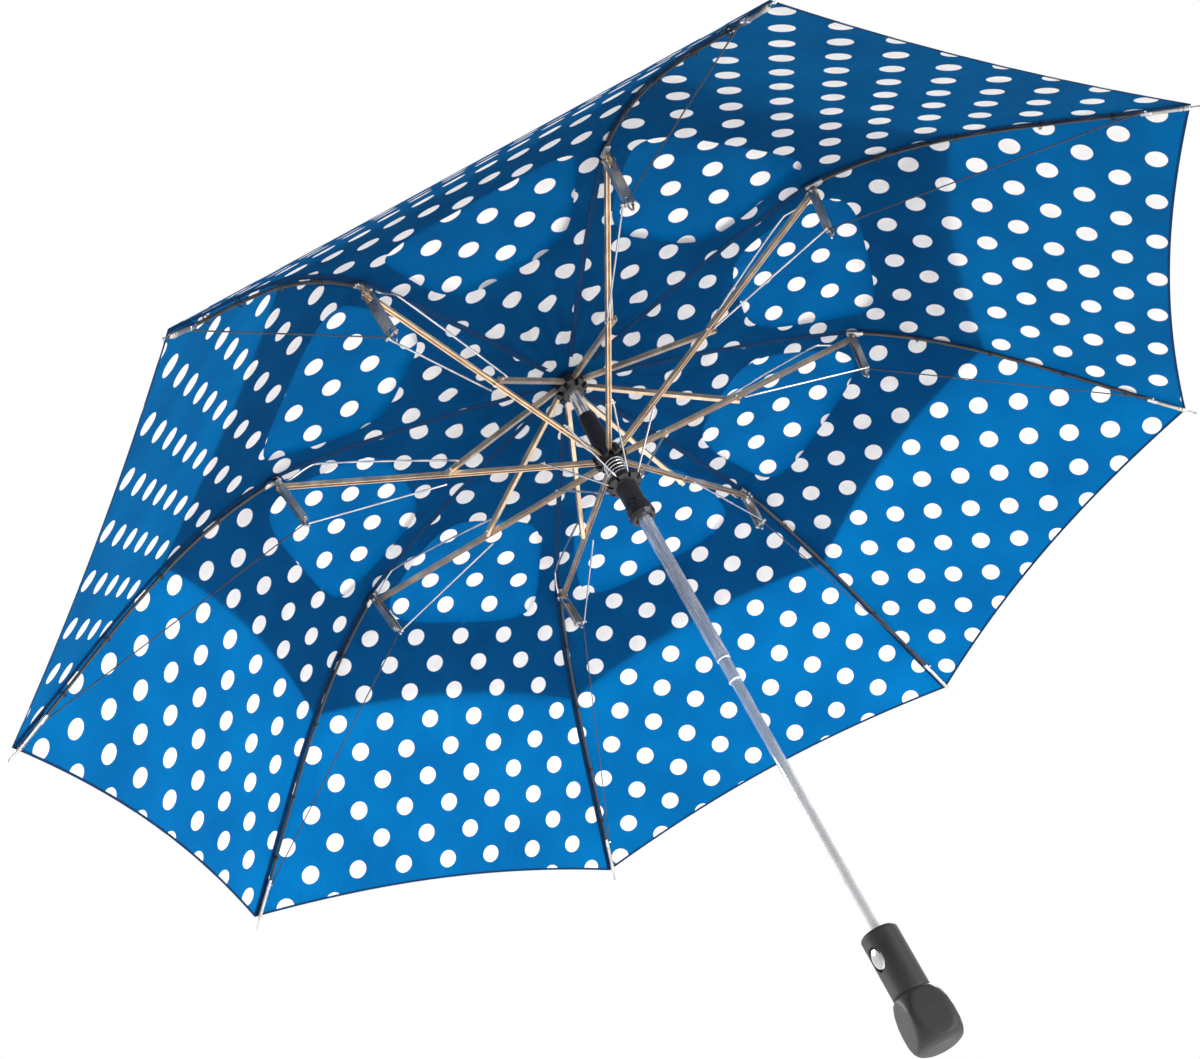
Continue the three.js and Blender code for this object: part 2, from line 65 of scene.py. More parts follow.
HALF = STEP / 2
SIDES = {"left": 1, "right": -1}
JOINTS = {joint["name"]: joint for joint in frame["joints"]}


def pivot(joint):
    """A pivot of arm 1 as (x, z)."""
    point = JOINTS[joint]["pos_m"]
    return np.array([point[0], point[2]])


# ---- Driving dimensions ----

HUB = pivot("rib_hinge_1")
RUNNER = pivot("stretcher_hinge_1")
ELBOW = pivot("elbow_hinge_1")
FOOT = pivot("link_hinge_1")
HOOK = pivot("wire_hinge_1")
CROSS = RUNNER + 0.47 * (ELBOW - RUNNER)
COLLAR = np.array([0.013, 0.5])
TIP = np.array([0.490, 0.4155])

# How far to the side of the arm's plane each rod or wire runs.
ROD_SIDE = -2.1 * MM
LINK_SIDE = -6.2 * MM
BOW_WIRE_SIDE = -5.0 * MM
UPPER_LINK_SIDE = 4.9 * MM
WIRE_SIDE = 1.9 * MM

# The bowed rib. The lifts are measured at right angles to it: at its root, and off its chord further out.
ROD_RADIUS = 1.4 * MM
ROD_END_RADIUS = 1.1 * MM
ROD_LIFT = 6.5 * MM
ROD_ANGLE = math.radians(-20)
ROD_FAR_LIFT = 7.4 * MM

# Wire and thread radii.
BOW_WIRE_RADIUS = 0.5 * MM
LINK_RADIUS = 0.8 * MM
UPPER_LINK_RADIUS = 0.85 * MM
LOOP_RADIUS = 0.75 * MM
THREAD_RADIUS = 0.2 * MM
COIL_WIRE_RADIUS = 0.72 * MM

# Shares of the bowed rib's curve: the bow wire's clamp and the thread ties.
CLAMP_SHARE = 0.9
TIE_SHARES = (0.2, 0.42, 0.64, 0.82)
# From the lever's foot to the link rod's inner end.
LINK_REACH = np.array([-116, 2.7]) * MM

# The cloth. Slopes are of its line over a rib; clearance is from the rod's middle.
CROWN_RADIUS = 6 * MM
CROWN_Z = HUB[1] + 7.4 * MM
CROWN_SLOPE = -0.035
ELBOW_SLOPE = -0.2
CLEARANCE = 3.4 * MM
HEM_POWER = 4
LOWER_SAG = 14 * MM
LOWER_LIFT = 0.4 * MM
VENT_MIDDLE = 225 * MM
VENT_HALF_LENGTH = 60 * MM
VENT_HALF_SHARE = 0.78
VENT_POWER = 4
UPPER_LENGTH = 370 * MM
UPPER_SAG = 12 * MM
UPPER_LIFT = 3.8 * MM
UPPER_BILLOW = 5 * MM
HEM_WIDTH = 2.2 * MM
HEM_THICK = 0.35 * MM
SEAM_HALF = 2.4 * MM
SEAM_START = 24 * MM
PUCKER_DEPTH = 0.35 * MM
PUCKER_PITCH = 21 * MM
PUCKER_SHARE = 0.06
FOLD_DIP = 3.0 * MM
FOLD_LENGTH = 0.19

THREAD_PITCH = 0.5 * MM
STITCH_PITCH = 1.6 * MM
DOT_PITCH = 46.5 * MM
DOT_ROW = 27 * MM
DOT_RADIUS = 8.4 * MM
# How much less light comes through a white dot than through the blue.
DOT_SHADE = 0.6
# The print's lattice starts this far from the crown.
PRINT_START = 0.4
# Where each gore was cut from the printed cloth: sideways and lengthways shift of the print, in millimetres.
PRINT_SHIFTS = [(-6, -2), (10, 14), (3, -3), (10, 3), (-3, 6), (-2, 0), (6, 10), (-9, 4)]
# The upper canopy takes the shift of the gore this many further round.
UPPER_PRINT_TURN = 3


# ---- Materials ----


class Nodes:
    """A material's node tree, with short calls for the few nodes that are used here."""

    def __init__(self, name):
        self.material = bpy.data.materials.new(name)
        self.material.use_nodes = True
        self.tree = self.material.node_tree
        self.shader = self.tree.nodes["Principled BSDF"]
        self.output = self.tree.nodes["Material Output"]

    def add(self, kind, links=None, **values):
        node = self.tree.nodes.new(kind)
        for key, value in values.items():
            if key in node.bl_rna.properties:
                setattr(node, key, value)
            else:
                node.inputs[key.replace("_", " ")].default_value = value
        for key, socket in (links or {}).items():
            self.tree.links.new(socket, node.inputs[key])
        return node

    def math(self, operation, a, b=None, clamp=False):
        node = self.tree.nodes.new("ShaderNodeMath")
        node.operation = operation
        node.use_clamp = clamp
        for slot, value in enumerate((a, b)):
            if value is None:
                continue
            if isinstance(value, (int, float)):
                node.inputs[slot].default_value = value
            else:
                self.tree.links.new(value, node.inputs[slot])
        return node.outputs[0]

    def vector(self, operation, a, b=None):
        node = self.tree.nodes.new("ShaderNodeVectorMath")
        node.operation = operation
        for slot, value in enumerate((a, b)):
            if value is None:
                continue
            if isinstance(value, tuple):
                node.inputs[slot].default_value = value
            else:
                self.tree.links.new(value, node.inputs[slot])
        return node.outputs["Value" if operation == "LENGTH" else "Vector"]

    def noise(self, vector, scale, detail=3.0):
        return self.add("ShaderNodeTexNoise", {"Vector": vector}, Scale=scale, Detail=detail).outputs["Fac"]

    def ramp(self, factor, stops):
        node = self.add("ShaderNodeValToRGB", {"Fac": factor})
        elements = node.color_ramp.elements
        while len(elements) < len(stops):
            elements.new(0.5)
        for element, (place, colour) in zip(elements, stops):
            element.position = place
            element.color = (*colour, 1.0)
        return node.outputs["Color"]

    def mix(self, factor, a, b):
        node = self.tree.nodes.new("ShaderNodeMix")
        node.data_type = "RGBA"
        for slot, value in ((0, factor), (6, a), (7, b)):
            if isinstance(value, (int, float)):
                node.inputs[slot].default_value = value
            elif isinstance(value, tuple):
                node.inputs[slot].default_value = (*value, 1.0)
            else:
                self.tree.links.new(value, node.inputs[slot])
        return node.outputs[2]

    def bump(self, height, strength, distance):
        node = self.add("ShaderNodeBump", {"Height": height}, Strength=strength, Distance=distance)
        self.link(node.outputs["Normal"], self.shader.inputs["Normal"])
        return node.outputs["Normal"]

    def link(self, socket, target):
        self.tree.links.new(socket, target)

    def set(self, **values):
        for key, value in values.items():
            self.shader.inputs[key.replace("_", " ")].default_value = value


def cloth_material(name, blue, deep, see_through):
    """Printed polyester: white dots on blue, a fine weave, soft creases, and light showing through it."""
    n = Nodes(name)
    uv = n.add("ShaderNodeUVMap", uv_map="print").outputs["UV"]
    cell = (DOT_PITCH, 2 * DOT_ROW, 1.0)
    reach = None
    for shift in ((0.5, 0.5, 0.0), (0.0, 0.0, 0.0)):
        place = n.vector("ADD", n.vector("DIVIDE", uv, cell), shift)
        off = n.vector("MULTIPLY", n.vector("SUBTRACT", n.vector("FRACTION", place), (0.5, 0.5, 0.0)), cell)
        distance = n.vector("LENGTH", n.vector("MULTIPLY", off, (1.0, 1.0, 0.0)))
        reach = distance if reach is None else n.math("MINIMUM", reach, distance)
    wander = n.math("MULTIPLY", n.math("SUBTRACT", n.noise(uv, 900.0), 0.5), 0.5 * MM)
    edge = n.math("SUBTRACT", DOT_RADIUS, n.math("ADD", reach, wander))
    dot = n.math("DIVIDE", edge, 0.35 * MM, clamp=True)
    tone = n.ramp(n.noise(uv, 14.0), [(0.3, deep), (0.7, blue)])
    white = n.ramp(n.noise(uv, 40.0), [(0.3, (0.80, 0.77, 0.75)), (0.7, (0.90, 0.88, 0.86))])
    colour = n.mix(dot, tone, white)
    rate = 2 * math.pi / THREAD_PITCH
    thread = n.vector("SINE", n.vector("MULTIPLY", uv, (rate, rate, 0.0)))
    parts = n.add("ShaderNodeSeparateXYZ", {"Vector": thread})
    weave = n.math("MULTIPLY", parts.outputs["X"], parts.outputs["Y"])
    crease = n.noise(n.vector("MULTIPLY", uv, (2.2, 0.5, 1.0)), 22.0, 4.0)
    height = n.math("ADD", n.math("MULTIPLY", weave, 0.02), crease)
    normal = n.bump(height, 0.9, 5.0 * MM)
    n.link(colour, n.shader.inputs["Base Color"])
    n.link(n.ramp(n.noise(uv, 60.0), [(0.0, (0.55,) * 3), (1.0, (0.72,) * 3)]), n.shader.inputs["Roughness"])
    n.set(Specular_IOR_Level=0.06)
    through = n.add("ShaderNodeBsdfTranslucent", {"Color": colour, "Normal": normal})
    both = n.add("ShaderNodeMixShader")
    thinness = n.math("SUBTRACT", 1.0, n.math("MULTIPLY", dot, DOT_SHADE))
    n.link(n.math("MULTIPLY", thinness, see_through), both.inputs[0])
    n.link(n.shader.outputs[0], both.inputs[1])
    n.link(through.outputs[0], both.inputs[2])
    n.link(both.outputs[0], n.output.inputs["Surface"])
    return n.material


def hem_material():
    """The folded edge of the cloth, with a row of stitches along it. Its blue is painted far darker than the
    cloth it is folded from, as painted shade of the doubled cloth.
    """
    n = Nodes("hem_cloth")
    uv = n.add("ShaderNodeUVMap", uv_map="print").outputs["UV"]
    # Painted shade: a far darker blue than the cloth's own, standing for the doubled cloth that lets less
    # light through.
    tone = n.ramp(n.noise(uv, 60.0), [(0.3, (0.001, 0.014, 0.05)), (0.7, (0.001, 0.028, 0.09))])
    run = n.add("ShaderNodeSeparateXYZ", {"Vector": uv})
    stitch = n.math("SINE", n.math("MULTIPLY", run.outputs["X"], 2 * math.pi / STITCH_PITCH))
    shown = n.math("GREATER_THAN", stitch, 0.55)
    n.link(n.mix(shown, tone, (0.003, 0.045, 0.13)), n.shader.inputs["Base Color"])
    n.bump(n.math("ADD", n.math("MULTIPLY", stitch, 0.2), n.noise(uv, 300.0)), 0.25, 0.2 * MM)
    n.set(Roughness=0.7, Specular_IOR_Level=0.1)
    return n.material


def metal_material(name, light, dark, roughness, metallic=1.0, scratch=0.25):
    """Plated or drawn metal: tone and gloss vary a little, with fine drawn scratches along it."""
    n = Nodes(name)
    where = n.add("ShaderNodeTexCoord").outputs["Object"]
    cloud = n.noise(where, 90.0)
    lines = n.noise(n.vector("MULTIPLY", where, (1.0, 1.0, 0.12)), 2600.0, 2.0)
    n.link(n.ramp(cloud, [(0.32, dark), (0.68, light)]), n.shader.inputs["Base Color"])
    low, high = roughness
    n.link(n.ramp(lines, [(0.3, (low,) * 3), (0.7, (high,) * 3)]), n.shader.inputs["Roughness"])
    n.bump(lines, scratch, 0.05 * MM)
    n.set(Metallic=metallic)
    return n.material


def plastic_material(name, light, dark, roughness, grain, strength):
    """Moulded plastic with a fine grain."""
    n = Nodes(name)
    where = n.add("ShaderNodeTexCoord").outputs["Object"]
    cloud = n.noise(where, 60.0)
    speck = n.noise(where, grain, 2.0)
    n.link(n.ramp(cloud, [(0.3, dark), (0.7, light)]), n.shader.inputs["Base Color"])
    low, high = roughness
    n.link(n.ramp(cloud, [(0.3, (low,) * 3), (0.7, (high,) * 3)]), n.shader.inputs["Roughness"])
    n.bump(speck, strength, 0.12 * MM)
    n.set(Specular_IOR_Level=0.45)
    return n.material


MATERIALS = {
    "canopy_cloth": cloth_material("canopy_cloth", (0.0, 0.094, 0.262), (0.0, 0.070, 0.208), 0.45),
    # The upper canopy is the same fabric as the main canopy, painted a little darker and letting less light
    # through: painted shade of the gap between the two layers.
    "vent_cloth": cloth_material("vent_cloth", (0.0, 0.086, 0.245), (0.0, 0.064, 0.195), 0.42),
    "hem_cloth": hem_material(),
    "soft_touch": plastic_material(
        "soft_touch", (0.022, 0.022, 0.020), (0.014, 0.014, 0.0125), (0.45, 0.6), 3000.0, 0.2
    ),
    "black_plastic": plastic_material(
        "black_plastic", (0.020, 0.020, 0.022), (0.010, 0.010, 0.012), (0.28, 0.42), 1400.0, 0.15
    ),
    "smoke_plastic": plastic_material(
        "smoke_plastic", (0.026, 0.024, 0.022), (0.009, 0.008, 0.0075), (0.22, 0.4), 900.0, 0.15
    ),
    "chrome": metal_material(
        "chrome", (0.86, 0.87, 0.88), (0.72, 0.73, 0.75), (0.1, 0.18), 0.8, scratch=0.03
    ),
    "button_chrome": metal_material(
        "button_chrome", (0.66, 0.66, 0.67), (0.5, 0.5, 0.52), (0.1, 0.18), scratch=0.03
    ),
    "steel": metal_material("steel", (0.62, 0.58, 0.53), (0.42, 0.38, 0.34), (0.24, 0.42), 0.9),
    "bronze_steel": metal_material(
        "bronze_steel", (0.84, 0.64, 0.43), (0.60, 0.45, 0.31), (0.26, 0.44), 0.85
    ),
    "bright_wire": metal_material("bright_wire", (0.66, 0.66, 0.67), (0.42, 0.42, 0.44), (0.16, 0.30)),
    "spring_steel": metal_material("spring_steel", (0.86, 0.84, 0.80), (0.62, 0.60, 0.56), (0.14, 0.28)),
    "fibreglass": plastic_material(
        "fibreglass", (0.052, 0.044, 0.038), (0.020, 0.017, 0.015), (0.25, 0.45), 2200.0, 0.3
    ),
}


# ---- Building and placing pieces ----


def turned_by(points, arm):
    """Points of arm 1's frame turned to an arm, 0 to 7."""
    angle = arm * STEP
    turn = np.array(
        [[math.cos(angle), -math.sin(angle), 0], [math.sin(angle), math.cos(angle), 0], [0, 0, 1]]
    )
    return np.asarray(points, float) @ turn.T


def make_piece(name, points, faces, material):
    mesh = bpy.data.meshes.new(name)
    mesh.from_pydata([tuple(p) for p in points], [], faces)
    mesh.validate()
    mesh.shade_smooth()
    mesh.materials.append(MATERIALS[material])
    piece = bpy.data.objects.new(name, mesh)
    bpy.context.scene.collection.objects.link(piece)
    return piece


def sharpen(piece, degrees=35.0):
    """Smooth shading that keeps edges sharper than an angle."""
    piece.data.set_sharp_from_angle(angle=math.radians(degrees))
    return piece


def settle(piece, body, slot, *replaced):
    """Makes a piece ride on a body and hides the CAD nodes it stands in for. The slot is not used."""
    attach(piece, body)
    if replaced:
        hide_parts(*replaced)
    return piece


class Solid:
    """Points and faces of a piece that is put together from tubes and plates."""

    def __init__(self):
        self.points = []
        self.faces = []

    def add(self, points, faces):
        start = len(self.points)
        self.points.extend(np.asarray(points, float).tolist())
        self.faces.extend([tuple(start + i for i in face) for face in faces])

    def tube(self, path, radius, sides=10, rounded=True):
        """A round bar along a path. radius is one number or one for each point of the path."""
        path = np.asarray(path, float)
        radii = np.broadcast_to(radius, (len(path),)).astype(float)
        if rounded:
            path, radii = self.round_ends(path, radii)
        steps = np.diff(path, axis=0)
        tangents = np.vstack([steps[:1], steps[:-1] + steps[1:], steps[-1:]])
        tangents /= np.linalg.norm(tangents, axis=1, keepdims=True)
        across = np.cross(tangents[0], [0.0, 1.0, 0.05])
        rings = []
        for point, tangent, size in zip(path, tangents, radii):
            across = across - tangent * (across @ tangent)
            across /= np.linalg.norm(across)
            other = np.cross(tangent, across)
            turn = np.linspace(0, 2 * math.pi, sides, endpoint=False)[:, None]
            rings.append(point + size * (np.cos(turn) * across + np.sin(turn) * other))
        faces = []
        for ring in range(len(path) - 1):
            for side in range(sides):
                a = ring * sides + side
                b = ring * sides + (side + 1) % sides
                faces.append((a, b, b + sides, a + sides))
        faces.append(tuple(range(sides - 1, -1, -1)))
        faces.append(tuple((len(path) - 1) * sides + side for side in range(sides)))
        self.add(np.vstack(rings), faces)

    @staticmethod
    def round_ends(path, radii):
        """Adds a domed end at both ends of a bar."""
        dome = np.radians([75, 50, 25])
        parts = [path]
        sizes = [radii]
        for end, near, first in ((0, 1, True), (-1, -2, False)):
            out = path[end] - path[near]
            out /= np.linalg.norm(out)
            grow = out * (radii[end] * np.sin(dome))[:, None] * 0.6
            cap = path[end] + grow
            size = radii[end] * np.cos(dome)
            if first:
                parts.insert(0, cap)
                sizes.insert(0, size)
            else:
                parts.append(cap[::-1])
                sizes.append(size[::-1])
        return np.vstack(parts), np.concatenate(sizes)

    def plate(self, start, end, width, lane, bend=8):
        """A plate with round ends between two (x, z) points, filling a lane (low y, high y)."""
        start = np.asarray(start, float)
        end = np.asarray(end, float)
        angle = math.atan2(end[1] - start[1], end[0] - start[0])
        outline = []
        for centre, first in ((end, angle - math.pi / 2), (start, angle + math.pi / 2)):
            for turn in np.linspace(first, first + math.pi, bend):
                outline.append(centre + width / 2 * np.array([math.cos(turn), math.sin(turn)]))
        rim = 0.12 * (lane[1] - lane[0])
        layers = [(lane[0], 0.93), (lane[0] + rim, 1.0), (lane[1] - rim, 1.0), (lane[1], 0.93)]
        middle = (start + end) / 2
        points = []
        for y, share in layers:
            points += [(middle[0] + (p[0] - middle[0]) * share, y, middle[1] + (p[1] - middle[1]) * share)
                       for p in outline]
        count = len(outline)
        faces = [tuple(range(count)), tuple(range(4 * count - 1, 3 * count - 1, -1))]
        for layer in range(3):
            for i in range(count):
                j = (i + 1) % count
                a = layer * count
                faces.append((a + j, a + i, a + count + i, a + count + j))
        self.add(points, faces)

    def piece(self, name, arm, material):
        return sharpen(make_piece(name, turned_by(self.points, arm), self.faces, material))


def smooth_path(points, steps=6):
    """A Catmull-Rom curve through points."""
    points = np.asarray(points, float)
    padded = np.vstack([2 * points[0] - points[1], points, 2 * points[-1] - points[-2]])
    out = []
    for i in range(1, len(padded) - 2):
        p0, p1, p2, p3 = padded[i - 1 : i + 3]
        for t in np.linspace(0, 1, steps, endpoint=False):
            out.append(
                0.5 * (2 * p1 + (p2 - p0) * t + (2 * p0 - 5 * p1 + 4 * p2 - p3) * t**2
                       + (3 * p1 - p0 - 3 * p2 + p3) * t**3)
            )
    out.append(points[-1])
    return np.array(out)


def in_arm(point, side):
    """An (x, z) point of the arm's plane at a distance sideways."""
    return np.array([point[0], side, point[1]])


# ---- The bowed rib and the cloth's surface ----

ROD_START = ELBOW + ROD_LIFT * np.array([-math.sin(ROD_ANGLE), math.cos(ROD_ANGLE)])
CHORD = TIP - ROD_START
THIRD = np.linalg.norm(CHORD) / 3
ROD_LENGTH = 3 * THIRD
CHORD_UP = np.array([-CHORD[1], CHORD[0]]) / np.linalg.norm(CHORD)
ROD_CONTROLS = [
    ROD_START,
    ROD_START + THIRD * np.array([math.cos(ROD_ANGLE), math.sin(ROD_ANGLE)]),
    ROD_START + CHORD * 2 / 3 + ROD_FAR_LIFT * CHORD_UP,
    TIP,
]


def above_rod(share, clearance):
    """Points of the bowed rib's curve, moved off it at right angles."""
    a, b, c, d = ROD_CONTROLS
    t = np.asarray(share, float)[..., None]
    point = (1 - t) ** 3 * a + 3 * (1 - t) ** 2 * t * b + 3 * (1 - t) * t**2 * c + t**3 * d
    slope = (1 - t) ** 2 * (b - a) + 2 * (1 - t) * t * (c - b) + t**2 * (d - c)
    slope /= np.linalg.norm(slope, axis=-1, keepdims=True)
    normal = np.stack([-slope[..., 1], slope[..., 0]], -1)
    return point + normal * np.asarray(clearance, float)[..., None]


CLOTH_ELBOW = above_rod(0.0, CLEARANCE)
CLOTH_TIP = above_rod(1.0, CLEARANCE)
INNER_LENGTH = CLOTH_ELBOW[0] - CROWN_RADIUS
RIB_LENGTH = INNER_LENGTH + np.linalg.norm(CLOTH_TIP - CLOTH_ELBOW)


def rib_line(length, lift):
    """The cloth's line over a rib, lifted off it.

    It is a smooth curve to the elbow, then runs just above the bowed rib.
    """
    t = length / INNER_LENGTH
    inner = (
        (2 * t**3 - 3 * t**2 + 1) * CROWN_Z
        + (t**3 - 2 * t**2 + t) * INNER_LENGTH * CROWN_SLOPE
        + (3 * t**2 - 2 * t**3) * CLOTH_ELBOW[1]
        + (t**3 - t**2) * INNER_LENGTH * ELBOW_SLOPE
    )
    outer = above_rod((length - INNER_LENGTH) / (RIB_LENGTH - INNER_LENGTH), CLEARANCE + lift)
    inside = length <= INNER_LENGTH
    x = np.where(inside, CROWN_RADIUS + length - lift * math.sin(ROD_ANGLE), outer[..., 0])
    z = np.where(inside, inner + lift * math.cos(ROD_ANGLE), outer[..., 1])
    return x, z


class Canopy:
    """One layer of the canopy. share runs from 0 on the rib to 1 on the middle of the gore."""

    def __init__(self, hem_length, sag, lift, billow):
        self.hem_length = hem_length
        self.sag = sag
        self.lift = lift
        self.billow = billow

    def inset(self, length, share):
        """How far the hem's scoop pulls a point of the cloth in towards the crown."""
        return self.sag * (1 - (1 - share) ** 2) * (length / self.hem_length) ** HEM_POWER

    def surface(self, length, share, side, drop=0.0):
        """Points of the cloth: puckered beside the seams, and with shallow folds near the crown."""
        length = np.asarray(length, float)
        share = np.asarray(share, float)
        bulge = 1 - (1 - share) ** 2
        lift = self.lift + self.billow * bulge * np.sin(math.pi / 2 * length / self.hem_length)
        waves = np.sin(2 * math.pi * length / PUCKER_PITCH)
        pucker = np.exp(-share / PUCKER_SHARE) * share / (PUCKER_SHARE / 2) * waves
        fold = np.sin(2 * math.pi * share) ** 2 * np.sin(math.pi * np.clip(length / FOLD_LENGTH, 0, 1)) ** 2
        ripple = PUCKER_DEPTH * pucker - FOLD_DIP * fold
        x, z = rib_line(length - self.inset(length, share), lift + ripple - drop)
        across = share / 2
        return np.stack(
            [x * (1 - across * (1 - math.cos(STEP))), side * x * across * math.sin(STEP), z], -1
        )

    def normals(self, length, share, side):
        reach = 5 * MM
        wide = 0.02
        along = self.surface(length + reach, share, side) - self.surface(length - reach, share, side)
        near = np.clip(share - wide, 0, 1)
        far = np.clip(share + wide, 0, 1)
        # The two halves of a gore mirror each other, so on its middle line the cloth runs straight across.
        across = self.surface(length, far, side) - self.surface(length, near, side)
        middle = np.array([-math.sin(HALF), math.cos(HALF) * side, 0.0])
        across = np.where((share > 0.999)[..., None], middle, across)
        normal = np.cross(along, across) * side
        return normal / np.linalg.norm(normal, axis=-1, keepdims=True)


LOWER = Canopy(RIB_LENGTH, LOWER_SAG, LOWER_LIFT, 0.0)
UPPER = Canopy(UPPER_LENGTH, UPPER_SAG, UPPER_LIFT, UPPER_BILLOW)


class Panel:
    """The mesh of half a gore, from grids of (length, share) points, with the print's coordinates."""

    def __init__(self, layer, arm, side, shift):
        self.layer = layer
        self.arm = arm
        self.side = side
        self.shift = shift
        self.points = []
        self.normals = []
        self.prints = []
        self.faces = []
        self.materials = []

    def grid(self, length, share, drop=0.0, material=0):
        length, share = np.broadcast_arrays(np.asarray(length, float), np.asarray(share, float))
        rows, columns = length.shape
        start = len(self.points)
        points = self.layer.surface(length, share, self.side, drop)
        run = length - self.layer.inset(length, share)
        x, _ = rib_line(run, self.layer.lift)
        sideways = -self.side * x * math.sin(HALF) * (1 - share)
        prints = np.stack([sideways - self.shift[0], run - self.shift[1]], -1)
        normals = self.layer.normals(length, share, self.side)
        self.points.extend(turned_by(points.reshape(-1, 3), self.arm).tolist())
        self.normals.extend(turned_by(normals.reshape(-1, 3), self.arm).tolist())
        self.prints.extend(prints.reshape(-1, 2).tolist())
        for i in range(rows - 1):
            for j in range(columns - 1):
                a = start + i * columns + j
                quad = (a, a + columns, a + columns + 1, a + 1)
                self.faces.append(quad if self.side > 0 else quad[::-1])
                self.materials.append(material)

    def piece(self, name, cloth):
        piece = make_piece(name, self.points, self.faces, cloth)
        mesh = piece.data
        mesh.materials.append(MATERIALS["hem_cloth"])
        mesh.polygons.foreach_set("material_index", self.materials)
        layer = mesh.uv_layers.new(name="print")
        corners = np.array([self.prints[loop.vertex_index] for loop in mesh.loops])
        layer.data.foreach_set("uv", corners.ravel())
        mesh.normals_split_custom_set_from_vertices(self.normals)
        return piece


def vent_share(length):
    """The share at which the vent's edge crosses a length, or 1 where the cloth is whole."""
    u = np.clip(np.abs(length - VENT_MIDDLE) / VENT_HALF_LENGTH, 0, 1)
    return 1 - VENT_HALF_SHARE * (1 - u**VENT_POWER) ** (1 / VENT_POWER)


VENT_LOW = VENT_MIDDLE - VENT_HALF_LENGTH
VENT_HIGH = VENT_MIDDLE + VENT_HALF_LENGTH
COLUMNS = np.linspace(0, 1, 13)[None, :]


def vent_rows(low, high, count):
    """Lengths between two places in the vent's span, close together near its ends."""
    first = math.asin(max(-1.0, (low - VENT_MIDDLE) / VENT_HALF_LENGTH))
    last = math.asin(min(1.0, (high - VENT_MIDDLE) / VENT_HALF_LENGTH))
    return VENT_MIDDLE + VENT_HALF_LENGTH * np.sin(np.linspace(first, last, count))


def hem_strip(panel, lengths, shares):
    """A strip of folded cloth just below the main skin, in the hem cloth with its painted shade."""
    panel.grid(lengths, shares, drop=HEM_THICK, material=1)


def seam_strip(panel, low, high):
    """Half of the folded seam along a rib, where two gores are sewn together."""
    lengths = np.linspace(low, high, 40)
    x, _ = rib_line(lengths, 0.0)
    edge = np.minimum(SEAM_HALF / (x * math.sin(STEP) / 2), 1)
    hem_strip(panel, lengths[:, None], edge[:, None] * np.array([[0.0, 0.5, 1.0]]))


def canopy_zone(arm, side, shift, zone):
    """One zone of half a gore of the main canopy, with the edge of its vent and its hem."""
    panel = Panel(LOWER, arm, side, shift)
    if zone == "inner":
        whole = np.linspace(0, VENT_LOW, 16)
        vented = vent_rows(VENT_LOW, INNER_LENGTH, 16)
    else:
        vented = vent_rows(INNER_LENGTH, VENT_HIGH, 12)
        whole = np.linspace(VENT_HIGH, RIB_LENGTH, 26)
    for rows in (whole, vented):
        edge = vent_share(rows) if rows is vented else np.ones(len(rows))
        panel.grid(rows[:, None], COLUMNS * edge[:, None])
    if zone == "inner":
        seam_strip(panel, SEAM_START, INNER_LENGTH)
    else:
        seam_strip(panel, INNER_LENGTH, RIB_LENGTH)
        hem_strip(panel, np.linspace(RIB_LENGTH - HEM_WIDTH, RIB_LENGTH, 3)[:, None], COLUMNS)
    return panel


def vent_cover_zone(arm, side, shift, zone):
    """One zone of half a gore of the upper canopy, with its hem."""
    panel = Panel(UPPER, arm, side, shift)
    if zone == "inner":
        panel.grid(np.linspace(0, INNER_LENGTH, 22)[:, None], COLUMNS)
    else:
        panel.grid(np.linspace(INNER_LENGTH, UPPER_LENGTH, 12)[:, None], COLUMNS)
        hem_strip(panel, np.linspace(UPPER_LENGTH - HEM_WIDTH, UPPER_LENGTH, 3)[:, None], COLUMNS)
    return panel


def fold_axis(arm, side, start, end):
    """The direction in which half a gore gathers: across the gore, at right angles to its rib."""
    rib = np.array([end[0] - start[0], 0.0, end[1] - start[1]])
    rib /= np.linalg.norm(rib)
    chord = np.array([-math.sin(HALF), side * math.cos(HALF), 0.0])
    axis = chord - rib * (chord @ rib)
    return tuple(turned_by(axis / np.linalg.norm(axis), arm))


# keep is the share of its width that a zone still has when the canopy is folded.
ZONES = {
    "inner": {
        "body": "inner_rib",
        "start": np.array([CROWN_RADIUS, CROWN_Z]),
        "end": CLOTH_ELBOW,
        "keep": 0.36,
    },
    "outer": {"body": "outer_rib", "start": CLOTH_ELBOW, "end": CLOTH_TIP, "keep": 0.055},
}
CLOTHS = {
    "canopy": (canopy_zone, "canopy_cloth", RIB_LENGTH),
    "vent_canopy": (vent_cover_zone, "vent_cloth", UPPER_LENGTH),
}


def build_canopy():
    for layer, (make_zone, cloth, reach) in CLOTHS.items():
        for arm in range(ARMS):
            for side_name, side in SIDES.items():
                gore = arm if side > 0 else (arm - 1) % ARMS
                turned = 0 if layer == "canopy" else UPPER_PRINT_TURN
                sideways, lengthways = PRINT_SHIFTS[(gore + turned) % ARMS]
                shift = (sideways * MM, lengthways * MM + PRINT_START)
                for zone_name, zone in ZONES.items():
                    panel = make_zone(arm, side, shift, zone_name)
                    piece = panel.piece(f"{layer}_{zone_name}_{arm + 1}_{side_name}", cloth)
                    body = f"{zone['body']}_{arm + 1}"
                    settle(piece, body, cloth)
                    axis = fold_axis(arm, side, zone["start"], zone["end"])
                    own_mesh(piece)
                    high = INNER_LENGTH if zone_name == "inner" else reach
                    width = rib_line(np.array(high), 0.0)[0] * math.sin(HALF)
        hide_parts(layer)


# ---- Arms ----


